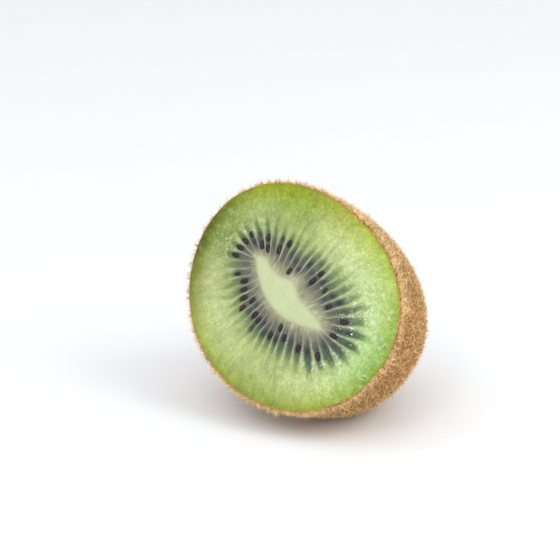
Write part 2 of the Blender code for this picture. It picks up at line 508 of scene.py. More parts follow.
# Flesh colours from the core's edge (0) to the rim (1), between the chambers and in them; the
# core's own colours run from its edge (0) inwards (1)
FLESH_STOPS = (
    (0.0, (0.53, 0.545, 0.32)),
    (0.03, (0.40, 0.395, 0.235)),
    (0.07, (0.32, 0.315, 0.19)),
    (0.14, (0.255, 0.255, 0.18)),
    (0.25, (0.24, 0.275, 0.17)),
    (0.38, (0.41, 0.48, 0.22)),
    (0.5, (0.55, 0.62, 0.27)),
    (0.62, (0.62, 0.69, 0.33)),
    (0.73, (0.61, 0.69, 0.29)),
    (0.84, (0.555, 0.635, 0.20)),
    (0.92, (0.50, 0.58, 0.13)),
    (0.975, (0.455, 0.54, 0.07)),
    (1.0, (0.44, 0.47, 0.05)),
)
CHAMBER_STOPS = (
    (0.0, (0.36, 0.33, 0.23)),
    (0.06, (0.27, 0.24, 0.185)),
    (0.13, (0.168, 0.158, 0.124)),
    (0.22, (0.112, 0.115, 0.094)),
    (0.31, (0.086, 0.112, 0.076)),
    (0.40, (0.115, 0.172, 0.080)),
    (0.52, (0.20, 0.31, 0.10)),
    (0.66, (0.39, 0.50, 0.18)),
)
LOBE_TINT = (0.58, 0.69, 0.47)
HOLLOW_BLUE = (0.088, 0.095, 0.130)
SEED_SHADE = (0.040, 0.036, 0.044)
SUNK_SHADE = (0.034, 0.038, 0.060)
RAY_BEIGE = (0.43, 0.405, 0.29)
WALL_PALE = (0.58, 0.68, 0.42)
MOTTLE_TINT = (0.66, 0.82, 0.50)
# Colour of the painted highlights, small glints on the wet flesh
PAINTED_GLINT = (0.76, 0.93, 0.68)
CORE_STOPS = (
    (0.0, (0.50, 0.515, 0.31)),
    (0.5, (0.645, 0.70, 0.40)),
    (1.0, (0.66, 0.74, 0.415)),
)


class FleshPaint(Paint):
    """The cut flesh in the making, with the marks and the noise that its colours share."""

    def __init__(self, name):
        super().__init__(name)
        self.reach = self.mark("reach")
        self.wet = self.mark("wet")
        self.chamber = self.mark("chamber")
        self.fan = self.mark("fan", "Vector")
        self.where = self.place()
        self.fibres = self.noise(self.fan, 0.03, 4.0, 0.65) - 0.5
        self.grains = self.noise(self.where, 0.00045, 3.0, 0.7) - 0.5
        self.outer = self.reach.between(0.1, 0.45)

    def chambered(self):
        """Pale walls with greener lobes, and dark chambers that are bluish near the core."""
        walls = self.ramp(self.reach, FLESH_STOPS)
        walls = self.mix(walls, self.times(walls, LOBE_TINT), self.mark("lobe"))
        hollows = self.ramp(self.mark("hollow"), CHAMBER_STOPS)
        bluish = self.noise(self.where, 0.0015, 2.0).between(0.42, 0.62)
        bluish = bluish * (1.0 - self.reach.between(0.14, 0.34))
        hollows = self.mix(hollows, HOLLOW_BLUE, bluish * 0.4)
        return self.mix(walls, hollows, self.chamber)

    def shaded(self, colour):
        """Fine rays by the core, dark flesh round the seeds, and pale broken lines on the walls."""
        rays = self.noise(self.fan, 0.016, 2.0).between(0.46, 0.66)
        rays = rays * (1.0 - self.reach.between(0.08, 0.24))
        colour = self.mix(colour, RAY_BEIGE, rays * 0.55)
        colour = self.mix(colour, SUNK_SHADE, self.mark("sunk_shade"))
        colour = self.mix(colour, SEED_SHADE, self.mark("seed_shade"))
        broken = (self.fibres * 2.5 + 0.75).between(0.1, 1.0)
        return self.mix(colour, WALL_PALE, self.mark("ridge") * broken)

    def mottled(self, colour):
        """Each side's painted light and shade and its own tint, and a deeper green between the mottles of the outer
        flesh, whose wet share is a painted sheen.
        """
        colour = self.times(colour, self.mark("side_tint", "Vector"))
        mottles = self.noise(self.where, 0.0009, 4.0, 0.65)
        deep = (1.0 - mottles.between(0.36, 0.60)) * self.outer
        # Where wet, the deeper green between the mottles is painted sheen: it makes the pale mottles read as frosted
        # highlights.
        deep = deep * (self.wet * 0.5 + self.mark("mottled"))
        return self.mix(colour, self.times(colour, MOTTLE_TINT), deep)

    def toned(self, colour):
        """Lighter and darker along the fibres, in grains and in blotches."""
        inner = 1.0 - self.reach.between(0.2, 0.5)
        streaks = self.noise(self.fan, 0.06, 2.0) - 0.5
        blotches = self.noise(self.where, 0.0026, 3.0, 0.6) - 0.5
        tone = 0.885 + self.fibres * (inner * 0.7 + 0.26) + streaks * self.outer * 0.3
        # The grains are stronger where wet: partly the flesh's own grain, partly painted sparkle.
        tone = tone + self.grains * (self.outer * 0.35 + self.wet * 1.0 + 0.25)
        tone = tone + blotches * self.outer * 0.55
        return self.scaled(colour, tone)

    def painted_glints(self, colour):
        """Painted highlights: small pale spots on the outer flesh that stand in for glints, most of them where it is
        wet.
        """
        glint_mask = self.noise(self.where, 0.0011, 4.0, 0.7).between(0.50, 0.64)
        glint_mask = glint_mask * (1.0 - self.chamber * 0.9) * self.outer
        return self.mix(colour, PAINTED_GLINT, glint_mask * (self.wet * 0.85 + 0.05))


def flesh_material():
    """Moist green flesh: pale walls between dark seed chambers, greener towards the rim."""
    paint = FleshPaint("green_flesh")
    wet = paint.wet
    colour = paint.mottled(paint.shaded(paint.chambered()))
    height = paint.grains * (wet + 0.4) + paint.fibres * 0.5
    return paint.finish(
        Base_Color=paint.painted_glints(paint.toned(colour)),
        Roughness=0.48 - wet * 0.2,
        Normal=paint.bump(height, 0.00022, 0.6),
        Coat_Weight=wet * (0.55 - paint.chamber * 0.45) + 0.05,
        Coat_Roughness=0.15,
        IOR=1.38,
        Specular_IOR_Level=0.3,
        Subsurface_Weight=0.22,
        Subsurface_Radius=(0.8, 1.0, 0.35),
        Subsurface_Scale=0.0006,
    )


def core_material():
    """Pale core, a little darker and browner just at its edge."""
    paint = Paint("pale_core")
    inward = paint.mark("inward")
    where = paint.place()
    soft = paint.noise(where, 0.003, 2.0)
    grains = paint.noise(where, 0.0005, 3.0)
    colour = paint.ramp(inward, CORE_STOPS)
    colour = paint.scaled(colour, 0.67 + soft * 0.22 + grains * 0.10)
    return paint.finish(
        Base_Color=colour,
        Roughness=0.42,
        Normal=paint.bump(grains + soft, 0.0001, 0.4),
        Coat_Weight=0.1,
        Coat_Roughness=0.2,
        Subsurface_Weight=0.3,
        Subsurface_Radius=(1.0, 1.0, 0.5),
        Subsurface_Scale=0.0009,
    )


def seed_material():
    """Glossy seeds, nearly black with a purple brown cast."""
    paint = Paint("dark_seed")
    where = paint.place()
    cast = paint.noise(where, 0.0009, 2.0)
    colour = paint.mix((0.010, 0.007, 0.010), (0.055, 0.017, 0.016), cast.between(0.45, 0.7))
    return paint.finish(
        Base_Color=colour,
        Roughness=0.36,
        Normal=paint.bump(paint.noise(where, 0.00025), 0.00003, 0.5),
        Specular_IOR_Level=0.35,
        Coat_Weight=0.12,
        Coat_Roughness=0.1,
    )


def skin_material():
    """Thin brown skin, blotched and speckled, under the hairs, with its cut edge painted pale as painted light."""
    paint = Paint("brown_skin")
    where = paint.place()
    blotches = paint.noise(where, 0.005, 3.0)
    speckles = paint.noise(where, 0.0005, 4.0, 0.7)
    share = blotches.between(0.3, 0.7) * 0.5 + speckles * 0.5
    colour = paint.mix((0.31, 0.147, 0.046), (0.43, 0.222, 0.077), share)
    colour = paint.mix(colour, (0.17, 0.072, 0.025), speckles.between(0.56, 0.70) * 0.7)
    # Painted light: the thin cut edge is painted pale, which lifts the shade in the groove at the rim.
    edge = paint.mark("edge") * (speckles * 0.6 + 0.55)
    colour = paint.mix(colour, (0.62, 0.46, 0.15), edge)
    return paint.finish(
        Base_Color=colour,
        Roughness=0.75,
        Specular_IOR_Level=0.15,
        Normal=paint.bump(speckles + blotches, 0.0003, 0.8),
    )


def hair_material(name, root, middle, tip):
    """Hairs that are darker at the root, each with its own tone."""
    paint = Paint(name)
    along = paint.mark("along")
    tone = paint.mark("tone")
    colour = paint.ramp(along, ((0.0, root), (0.4, middle), (1.0, tip)))
    colour = paint.scaled(colour, tone * 1.28 + 0.34)
    return paint.finish(Base_Color=colour, Roughness=0.55, Specular_IOR_Level=0.25)


def stub_material():
    paint = Paint("dry_stub")
    where = paint.place()
    grain = paint.noise(where, 0.0006, 4.0, 0.7)
    rough = paint.noise(where, 0.002, 3.0)
    colour = paint.mix((0.05, 0.025, 0.012), (0.34, 0.22, 0.12), grain.between(0.35, 0.75))
    colour = paint.mix(colour, (0.45, 0.36, 0.25), rough.between(0.6, 0.8) * 0.6)
    return paint.finish(Base_Color=colour, Roughness=0.85, Normal=paint.bump(grain, 0.0003, 1.0))


def from_middle(number):
    """0 on a chamber's middle line and 1 on the middle of the wall between two chambers."""
    return np.abs((number + 0.5) % 1 - 0.5) * 2


def face_height(share, number):
    """The cut face's height over its plane: sunk chambers, thin walls, a rounded rim."""
    sunk = CHAMBER_SUNK * stretch(share, *CHAMBER_FADES) * (1 - from_middle(number) ** 2.5)
    return -sunk - RIM_ROUNDED * smooth_step(0.93, 1.0, share)


def chamber_random(number, salt):
    """A random share from 0 to 1 for the chamber that this number falls in."""
    return hashed(np.round(number).astype(np.int64)[:, None] % CHAMBERS, salt) / 2 + 0.5


def angle_near(angle, middle, width):
    """1 at the middle angle and 0 beyond this many degrees on each side of it."""
    apart = np.abs((angle - math.radians(middle) + math.pi) % (2 * math.pi) - math.pi)
    return 1 - smooth_step(0, math.radians(width), apart)


def chamber_mask(share, number, angle):
    """How strongly a chamber's dark shows: full beside the seeds, narrower and fainter outwards."""
    beside = from_middle(number)
    longer = 0.22 * angle_near(angle, 12, 95) + 0.14 * angle_near(angle, 150, 70)
    end = 0.38 + longer + 0.16 * chamber_random(number, 11) - 0.08 * angle_near(angle, 225, 85)
    edge = 0.86 - 0.42 * smooth_step(0.24, 0.62, share) + 0.16 * (chamber_random(number, 12) - 0.5)
    edge = edge - 0.22 * angle_near(angle, 138, 60) * smooth_step(0.22, 0.4, share)
    across = 1 - smooth_step(edge - 0.40, edge + 0.14, beside)
    along = stretch(share, 0.015, 0.15, end - 0.24, end + 0.08)
    strength = 0.90 + 0.14 * chamber_random(number, 5) - 0.24 * angle_near(angle, 190, 75)
    strength = strength - 0.22 * angle_near(angle, 68, 62)
    faint = 0.3 * angle_near(angle, 138, 65) * smooth_step(0.2, 0.36, share)
    faint = faint + 0.22 * angle_near(angle, 238, 60) * smooth_step(0.2, 0.34, share)
    return across * along * np.clip(strength, 0, 1) * (1 - faint)


def chamber_lobe(share, number, angle):
    """The green end of a chamber beyond its seeds, leaf shaped and clearest on the left."""
    beside = from_middle(number)
    end = 0.54 + 0.12 * chamber_random(number, 21)
    along = stretch(share, 0.2, 0.31, end - 0.17, end + 0.03)
    edge = 0.78 - 0.45 * smooth_step(0.3, 0.62, share)
    across = 1 - smooth_step(edge - 0.36, edge + 0.1, beside)
    return across * along * (0.5 + 0.5 * angle_near(angle, 190, 115))


def wall_ridge(share, number, angle):
    """Pale lines along the middles of some of the walls between chambers."""
    beside = from_middle(number)
    chance = chamber_random(number + 0.5, 15)
    farther = 0.16 * angle_near(angle, 65, 60)
    along = stretch(share, 0.04, 0.14, 0.42 + farther, 0.66 + farther)
    broad = np.maximum(angle_near(angle, 140, 75), 0.7 * angle_near(angle, 215, 90))
    soft = 0.72 - 0.42 * broad * smooth_step(0.15, 0.35, share)
    return smooth_step(soft, 1.0, beside) * along * (0.05 + 0.5 * chance**2 + 0.12 * broad)


# Middle angle, width and colour factors of the sides of the outer flesh, and of its rim: partly the flesh's own
# colour, partly painted light and shade, with some sides painted dimmer and others brighter or cooler
SIDE_SHADING_AND_TINTS = (
    (124, 46, (0.59, 0.67, 0.40)),
    (172, 46, (0.56, 0.62, 0.36)),
    (188, 34, (0.75, 0.78, 0.64)),
    (208, 36, (0.84, 0.82, 0.80)),
    (238, 44, (0.91, 0.90, 0.92)),
    (286, 48, (0.78, 0.80, 0.68)),
    (-14, 34, (0.95, 0.97, 0.90)),
    (6, 50, (0.80, 0.96, 0.86)),
    (54, 52, (0.99, 1.06, 1.08)),
    (90, 26, (1.09, 1.04, 1.04)),
)
RIM_SHADING_AND_TINTS = (
    (4, 64, (0.76, 0.83, 0.72)),
    (98, 34, (1.06, 0.96, 0.96)),
    (140, 50, (1.15, 1.05, 0.28)),
    (194, 56, (0.44, 0.46, 0.14)),
    (226, 34, (0.90, 0.88, 1.08)),
    (290, 56, (0.84, 0.85, 0.98)),
)


def side_tint(share, angle):
    """Colour factors of the outer flesh: painted shade and an olive tint on one side, painted light and a cool painted
    sheen on others, partly the flesh's own colour.
    """
    outward = smooth_step(0.25, 0.65, share)[:, None]
    rimward = smooth_step(0.70, 0.97, share)[:, None]
    tint = np.ones((len(share), 3))
    for tints, reached in ((SIDE_SHADING_AND_TINTS, outward), (RIM_SHADING_AND_TINTS, rimward)):
        for middle, width, colour in tints:
            near = angle_near(angle, middle, width)[:, None]
            tint *= 1 + (np.array(colour) - 1) * near * reached
    return tint


def seed_places(words):
    """Number of the chamber and share of the way to the rim, for each seed in a list of words."""
    for number, word in enumerate(words.split()):
        for letter in word.strip("."):
            yield number, SEED_ROW_A + SEED_ROW_STEP * "abcdefghijk".index(letter)


def way_at(number):
    """Where a chamber's middle line starts at the core and ends at the rim."""
    angle = chamber_angle(np.array([float(number)]))
    return core_outline(angle)[0], rim_outline(angle)[0]


def seed_shadows(points, words, strength, spread):
    """How much each seed in a list of words darkens the flesh round it."""
    shade = np.zeros(len(points))
    for number, share in seed_places(words):
        inner, outer = way_at(number)
        along = (outer - inner) / np.linalg.norm(outer - inner)
        offset = points[:, :2] - (inner + share * (outer - inner))
        lengthwise = offset @ along / (SEED_LENGTH * 0.55)
        crosswise = offset @ np.array([-along[1], along[0]]) / (SEED_WIDTH * 0.62)
        faint = 0.75 + 0.25 * math.sin(9.0 * number + 40 * share)
        spot = strength * faint * np.exp(-(((lengthwise**2 + crosswise**2) / spread) ** 1.3))
        shade = np.maximum(shade, spot)
    return shade


def face_ring_shares():
    """Shares from the pocket's edge to the rim, close together at the pocket's edge."""
    return np.concatenate([[0.0, 0.001], np.linspace(0.008, 1.0, FACE_RINGS)])


def wavered(number, plane, share):
    """Chamber numbers that waver away from the core, so that no wall runs quite straight."""
    return number + WANDER * unevenness(plane, 0.0028, 61) * smooth_step(0.0, 0.3, share)


def face_points(pocket, rim, numbers):
    """Points of the cut face, ring by ring from the pocket's edge to the rim."""
    rings = []
    for share in face_ring_shares():
        plane = (1 - share) * pocket + share * rim
        heights = face_height(np.full(len(numbers), share), wavered(numbers, plane, share))
        rings.append(np.column_stack([plane, heights]))
    return rings


def uneven_reach(plane, share, angle):
    """The share of the way to the rim that sets the colours: ragged, and wider on some sides."""
    ragged = 0.012 * unevenness(plane, 0.0008, 62) + 0.02 * unevenness(plane, 0.002, 63)
    reach = share + ragged * stretch(share, 0.0, 0.03, 0.9, 1.0)
    rays = unevenness(np.column_stack([np.cos(angle), np.sin(angle)]), 0.045, 64)
    reach = reach + 0.035 * rays * (1 - smooth_step(0.04, 0.14, share))
    wider = 0.035 * angle_near(angle, 250, 105) - 0.012 * angle_near(angle, 60, 60)
    reach = reach + wider * (1 - smooth_step(0.06, 0.2, share))
    narrower = 0.13 * angle_near(angle, 22, 100) * stretch(share, 0.2, 0.36, 0.5, 0.8)
    return np.maximum(reach * (1 - narrower), 0.0)


def face_marks(points, share, number, angle):
    """The fields that the flesh material reads at each point of the cut face."""
    plane = points[:, :2]
    number = wavered(number, plane, share)
    reach = uneven_reach(plane, share, angle)
    darker = 0.15 * angle_near(angle, 0, 95) - 0.15 * angle_near(angle, 238, 75)
    return {
        "reach": reach,
        "hollow": reach * (1 - darker),
        "chamber": chamber_mask(reach, number, angle),
        "lobe": chamber_lobe(reach, number, angle),
        "ridge": wall_ridge(reach, number, angle),
        "seed_shade": seed_shadows(points, SEEDS, 0.55, 1.15),
        "sunk_shade": seed_shadows(points, SUNK_SEEDS, 0.98, 1.0),
        "side_tint": side_tint(reach, angle),
        "mottled": 0.24 + 0.45 * angle_near(angle, 112, 75) * smooth_step(0.45, 0.8, share),
        "wet": wetness_and_sheen(points, WET_AND_SHEEN_SPOTS),
        "fan": np.column_stack([np.cos(angle), np.sin(angle), share * 0.22]),
    }


def pocket_ring(outline, deep):
    """The core's outline at this share of its depth, where it is narrower."""
    middle = outline.mean(axis=0)
    plane = middle + (1 - CORE_TAPER * deep**2) * (outline - middle)
    return np.column_stack([plane, np.full(len(outline), -deep * CORE_DEEP)])


def skin_ring(slope, angles, inwards=0.0):
    """A ring of the skin at one slope, or about this far inside it."""
    return skin_surface(np.full(len(angles), slope), angles) * (1 - inwards / CUT_SHORT * 2)


def flesh_rings(numbers, angles):
    """Rings from deep in the pocket over the cut face to the round end, and each one's share."""
    pocket, rim = core_outline(angles), rim_outline(angles)
    walls = [pocket_ring(pocket, deep) for deep in POCKET_DEPTHS]
    face = face_points(pocket, rim, numbers)
    slopes = np.linspace(first_slope(), math.pi / 2, DOME_RINGS)[1:-1]
    dome = [skin_ring(slope, angles, 2 * SKIN_THICK) for slope in slopes]
    shares = np.concatenate([np.zeros(len(walls)), face_ring_shares(), np.ones(len(dome))])
    return [*walls, *face, *dome], shares


def add_flesh(material):
    """The flesh under the skin, with its finely modelled cut face and the core's pocket."""
    numbers = np.arange(CHAMBERS * COLUMNS_A_CHAMBER) / COLUMNS_A_CHAMBER
    angles = chamber_angle(numbers)
    around = len(angles)
    rings, ring_shares = flesh_rings(numbers, angles)
    bottom = [*core_outline(angles).mean(axis=0), -POCKET_DEPTHS[0] * CORE_DEEP]
    points, faces = lofted(bottom, rings, [0, 0, -DEPTH + 4 * SKIN_THICK])
    share = np.concatenate([[0], np.repeat(ring_shares, around), [1]])
    number = np.concatenate([[0], np.tile(numbers, len(rings)), [0]])
    angle = np.concatenate([[0], np.tile(angles, len(rings)), [0]])
    points[:, 2] += relief(points, share)
    marks = face_marks(points, share, number, angle)
    placed = stood(points, 2 * SKIN_THICK)
    piece = new_piece("kiwi_flesh", placed, faces, marks, material, "flesh")
    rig.replaces(piece, "flesh")


def relief(points, share):
    """Fine unevenness of the cut, none at the core's edge and the rim."""
    plane = points[:, :2]
    fine = 0.00003 * unevenness(plane, 0.0006, 1) + 0.00005 * unevenness(plane, 0.0016, 2)
    return fine * stretch(share, 0.0, 0.1, 0.95, 1.0)


def wetness_and_sheen(points, spots):
    """How wet the cut is at each point: wettest in the middles of these spots, and in patches. It sets the gloss as
    well as the painted sheen and glints.
    """
    wet = np.zeros(len(points))
    for spot, extent, amount in spots:
        from_spot = np.linalg.norm(points[:, :2] - np.array(spot), axis=1)
        wet = np.maximum(wet, amount * np.clip(1.25 - from_spot / extent, 0.0, 1.0))
    return wet * (0.55 + 0.45 * unevenness(points[:, :2], 0.0022, 3))


def core_top(outline):
    """Rings of the core's top, softly domed, and how far inside its edge each point lies."""
    middle = outline.mean(axis=0)
    rings, inward = [], []
    for share in (*np.linspace(0.06, 1, 26), 1.03, 1.06):
        plane = middle + share * (outline - middle)
        uneven = 0.00003 * unevenness(plane, 0.0012, 9) * (share < 0.97)
        high = CORE_RISE * max(1 - share**2, 0) + 0.00004 - 0.00008 * smooth_step(0.94, 1.06, share)
        rings.append(np.column_stack([plane, high + uneven]))
        apart = np.linalg.norm(plane[:, None] - outline[None], axis=2).min(axis=1)
        inward.append(np.clip(apart / CORE_EDGE_SOFT, 0, 1) * (share < 1))
    return rings, inward


def add_core(material):
    """The core: a softly domed top and the same narrowing sides as its solid."""
    numbers = np.arange(CHAMBERS * CORE_COLUMNS) / CORE_COLUMNS
    outline = core_outline(chamber_angle(numbers))
    middle = outline.mean(axis=0)
    top, inward = core_top(outline)
    sides = [pocket_ring(outline, deep) for deep in (0.02, 0.1, 0.25, 0.5, 0.75, 1.0)]
    points, faces = lofted([*middle, CORE_RISE], [*top, *sides], [*middle, -CORE_DEEP])
    marks = {"inward": np.concatenate([[1], *inward, np.zeros(len(sides) * len(outline) + 1)])}
    piece = new_piece("kiwi_core", stood(points), faces, marks, material, "core")
    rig.replaces(piece, "core")


def joined(groups, copies):
    """Points and faces of many copies of one mesh, each given as its own array of points."""
    steps = len(copies[0]) * np.arange(len(copies))
    faces = [(group[None] + steps[:, None, None]).reshape(-1, group.shape[1]) for group in groups]
    return np.concatenate(copies), faces


def seed_shape():
    """A seed one unit long along +X: a flattened drop, blunt behind and pointed in front."""
    turn = full_turn(14)
    rings = []
    for along in np.cos(np.linspace(0.25, math.pi - 0.25, 9)):
        wide = math.sqrt(1 - along**2) * (1 + 0.22 * along)
        ring = [np.full(len(turn), -along / 2), wide / 2 * np.sin(turn), wide / 2 * np.cos(turn)]
        rings.append(np.column_stack(ring))
    return lofted([-0.5, 0, 0], rings, [0.5, 0, 0])


def add_seeds(material):
    """The seeds that show, as the solids have them, each lying along its chamber."""
    shape, groups = seed_shape()
    random = np.random.default_rng(SEED_RANDOM)
    copies = []
    for number, share in seed_places(SEEDS):
        inner, outer = way_at(number)
        size = 1 + SEED_UNEVEN * random.uniform(-1, 1)
        turn = math.atan2(*(outer - inner)[::-1]) + random.uniform(-0.2, 0.2)
        place = inner + share * (outer - inner)
        sized = shape * np.array([SEED_LENGTH, SEED_WIDTH, SEED_HEIGHT]) * size
        flat = turned(sized[:, 0], sized[:, 1], math.degrees(turn)) + place
        height = face_height(np.array([share]), np.array([float(number)]))[0] + 0.0001
        copies.append(np.column_stack([flat, sized[:, 2] + height]))
    points, faces = joined(groups, copies)
    piece = new_piece("kiwi_seeds", stood(points), faces, {}, material, "seeds")
    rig.replaces(piece, "flesh")


def skin_steps(slopes, angles):
    """Small steps over the skin's outside at these points, one down it and one round it."""
    step = 1e-4
    down = skin_surface(slopes + step, angles) - skin_surface(slopes - step, angles)
    round_it = skin_surface(slopes, angles + step) - skin_surface(slopes, angles - step)
    return down, round_it


def skin_normals(slopes, angles):
    """Unit normals of the skin's outside."""
    normal = np.cross(*skin_steps(slopes, angles))
    normal *= np.sign((normal * skin_surface(slopes, angles)).sum(-1, keepdims=True))
    return normal / np.maximum(np.linalg.norm(normal, axis=-1, keepdims=True), 1e-12)


def uneven_skin_ring(slope, angles):
    """A ring of the skin's outside, raised by its thickness and its small bumps."""
    shell = skin_ring(slope, angles)
    bumps = 0.00010 * unevenness(shell, 0.0022, 21) + 0.00004 * unevenness(shell, 0.0007, 22)
    return shell + skin_normals(np.full(len(angles), slope), angles) * (bumps + 0.0001)[:, None]


def cut_edge_rings(angles):
    """Rings of the skin's thin cut edge, from the flesh outwards."""
    rim = rim_outline(angles)
    rings = []
    for out, behind in ((0.0, 0.00036), (0.00006, 0.00034), (0.00010, 0.00042)):
        ring = rim * (1 + out / np.linalg.norm(rim, axis=1, keepdims=True))
        rings.append(np.column_stack([ring, np.full(len(angles), -behind)]))
    return rings


def add_skin(material):
    """The thin skin with its cut edge, outside and inside."""
    angles = chamber_angle(np.arange(CHAMBERS * SKIN_COLUMNS) / SKIN_COLUMNS)
    outside = np.linspace(first_slope(), math.pi / 2, SKIN_RINGS)[:-1]
    inside = np.linspace(math.pi / 2, first_slope(), INSIDE_RINGS)[1:]
    inner = [skin_ring(slope, angles, SKIN_THICK) for slope in inside]
    edge = cut_edge_rings(angles)
    outer = [uneven_skin_ring(slope, angles) for slope in outside]
    rings = [*inner, *edge, *outer]
    points, faces = lofted([0, 0, -DEPTH + SKIN_THICK], rings, [0, 0, -DEPTH])
    # The cut edge rings take the skin's painted light.
    pale = [*np.zeros(len(inner)), *np.ones(len(edge) + 1), *np.zeros(len(outer) - 1)]
    marks = {"edge": np.concatenate([[0], np.repeat(pale, len(angles)), [0]])}
    piece = new_piece("kiwi_skin", stood(points), faces, marks, material, "skin")
    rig.replaces(piece, "flesh")


def spread_over_skin(count, random, last_slope):
    """Slopes and angles of this many points spread evenly over the skin, down to a last slope."""
    slopes = np.linspace(first_slope(), math.radians(last_slope), 400)
    angles = full_turn(400)
    down, round_it = skin_steps(*np.meshgrid(slopes, angles, indexing="ij"))
    area = np.linalg.norm(np.cross(down, round_it), axis=-1).ravel()
    chosen = random.choice(len(area), size=count, p=area / area.sum())
    row, column = np.divmod(chosen, len(angles))
    slope = slopes[row] + (random.random(count) - 0.5) * (slopes[1] - slopes[0])
    angle = angles[column] + (random.random(count) - 0.5) * (angles[1] - angles[0])
    return np.maximum(slope, first_slope()), angle


def hair_points(roots, leans, bends, lengths, thick, levels):
    """Points of bent, tapering three-sided hairs: three for each level and one for the tip."""
    side = np.cross(leans, np.array([0.31, 0.52, 0.79]))
    side /= np.linalg.norm(side, axis=1, keepdims=True)
    other = np.cross(leans, side)
    made = []
    for level in range(levels):
        share = level / levels
        centre = roots + lengths[:, None] * (leans * share + bends * share**2)
        radius = (thick / 2 * (1 - share) ** 0.7)[:, None]
        for corner in range(3):
            turn = 2 * math.pi * corner / 3
            made.append(centre + radius * (math.cos(turn) * side + math.sin(turn) * other))
    made.append(roots + lengths[:, None] * (leans + bends))
    return np.stack(made, axis=1)


def hair_faces(count, levels):
    """Faces of that many hairs: a root triangle, the sides and three at the tip."""
    step = (3 * levels + 1) * np.arange(count)[:, None]
    low = 3 * np.arange(levels - 1)[:, None]
    here, after = np.arange(3), (np.arange(3) + 1) % 3
    sides = np.stack([low + here, low + after, low + 3 + after, low + 3 + here], -1).reshape(-1, 4)
    last = 3 * (levels - 1)
    tips = np.stack([last + here, last + after, np.full(3, 3 * levels)], -1)
    ends = np.vstack([[[0, 2, 1]], tips])
    return [(step[:, :, None] + sides).reshape(-1, 4), (step[:, :, None] + ends).reshape(-1, 3)]


def hair_directions(roots, normals, lean, random, seed):
    """Which way hairs stand at their roots and how they bend, in tufts that lean alike."""
    count = len(roots)
    cells = np.floor(roots / TUFT_SIZE).astype(np.int64)
    tuft = np.column_stack([hashed(cells, seed + k) for k in (1, 2, 3)])
    away = smooth_step(-RIM_ROUNDED, -0.004, roots[:, 2])
    drift = tuft + random.normal(0, 0.35, (count, 3)) + RIMWARD * np.outer(away, [0, 0, 1])
    drift -= normals * (drift * normals).sum(1, keepdims=True)
    drift /= np.linalg.norm(drift, axis=1, keepdims=True)
    tilt = np.radians(random.uniform(*lean, count))[:, None]
    gather = ((cells + 0.5) * TUFT_SIZE - roots) / (2 * TUFT_SIZE)
    bends = random.normal(0, 0.2, (count, 3)) + 0.25 * drift + GATHER * gather
    return normals * np.cos(tilt) + drift * np.sin(tilt), bends


def hair_tones(roots, random, seed):
    cells = np.floor(roots / TUFT_SIZE).astype(np.int64)
    patch = 0.10 * unevenness(roots, 0.0025, seed + 9) + 0.10 * hashed(cells, seed + 4)
    return np.clip(0.5 + patch + random.normal(0, 0.26, len(roots)), 0, 1)


def hair_places(count, random, levels, last_slope):
    """Slopes, angles and nearness to the rim of hairs, which are sparse near it on the left."""
    slopes, angles = spread_over_skin(count, random, last_slope)
    by_rim = 1 - smooth_step(first_slope(), math.radians(14), slopes)
    dropped = 0.72 if levels > 2 else 0.55
    kept = random.random(count) > dropped * by_rim * angle_near(angles, 195, 125)
    return slopes[kept], angles[kept], by_rim[kept]


def add_hairs(name, count, length, thick, lean, material, levels, seed, last_slope=HAIRS_END):
    """One kind of hair all over the skin, or only in a band behind the rim."""
    random = np.random.default_rng(seed)
    wanted = count // 6 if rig.quick() else count
    slopes, angles, by_rim = hair_places(wanted, random, levels, last_slope)
    count = len(slopes)
    roots = skin_surface(slopes, angles)
    normals = skin_normals(slopes, angles)
    leans, bends = hair_directions(roots, normals, lean, random, seed)
    trimmed = 0.1 if last_slope == FRINGE_END else 0.45
    shorter = by_rim * (trimmed * angle_near(angles, 185, 110) - 0.3 * angle_near(angles, 62, 60))
    lengths = random.uniform(*length, count) * (1 - shorter)
    thickness = thick * random.uniform(0.75, 1.2, count) * (1 - 0.6 * np.maximum(shorter, 0))
    points = hair_points(roots - 0.00008 * normals, leans, bends, lengths, thickness, levels)
    around = 3 * levels + 1
    shares = np.append(np.repeat(np.arange(levels) / levels, 3), 1.0)
    tone = hair_tones(roots, random, seed)
    marks = {"along": np.tile(shares, count), "tone": np.repeat(tone, around)}
    placed = stood(points.reshape(-1, 3), 0.00002)
    piece = new_piece(name, placed, hair_faces(count, levels), marks, material, "fuzz")
    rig.replaces(piece, "flesh")


def add_stub(material):
    """The dried stub in the middle of the round end, knobbly and cracked."""
    turn = full_turn(72)
    shares, heights = np.array(STUB_PROFILE)[::-1].T
    rings = []
    for share in np.linspace(1.0, 0.05, 24):
        plane = turned(np.cos(turn), np.sin(turn), OVAL_TURN) * STUB_RADIUS * share
        lobes = 1 + 0.10 * np.sin(5 * turn) * share
        high = np.interp(share, shares, heights)
        knobs = 0.0003 * unevenness(np.column_stack([plane, 0 * turn]), 0.0008, 31) * (share < 0.97)
        rings.append(np.column_stack([plane * lobes[:, None], -DEPTH + 0.0003 - high - knobs]))
    top = -DEPTH - STUB_PROFILE[-1][1]
    points, faces = lofted([0, 0, top], rings[::-1], [0, 0, -DEPTH + 0.0006])
    faces = [group[:, ::-1] for group in faces]
    piece = new_piece("kiwi_stub", stood(points), faces, {}, material, "stub")
    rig.replaces(piece, "flesh")


def sepal_ring(place, side, over, share, wave):
    """A thin oval ring round a sepal's middle line, narrower and narrower towards its tip."""
    turn = full_turn(SEPAL_AROUND)
    wide = SEPAL_WIDTH / 2 * (1 - share) ** 0.6 * (1 + 0.3 * math.sin(9 * share + wave))
    flat = np.outer(np.cos(turn) * wide, side)
    return place + flat + np.outer(np.sin(turn) * (SEPAL_THICK / 2), over)


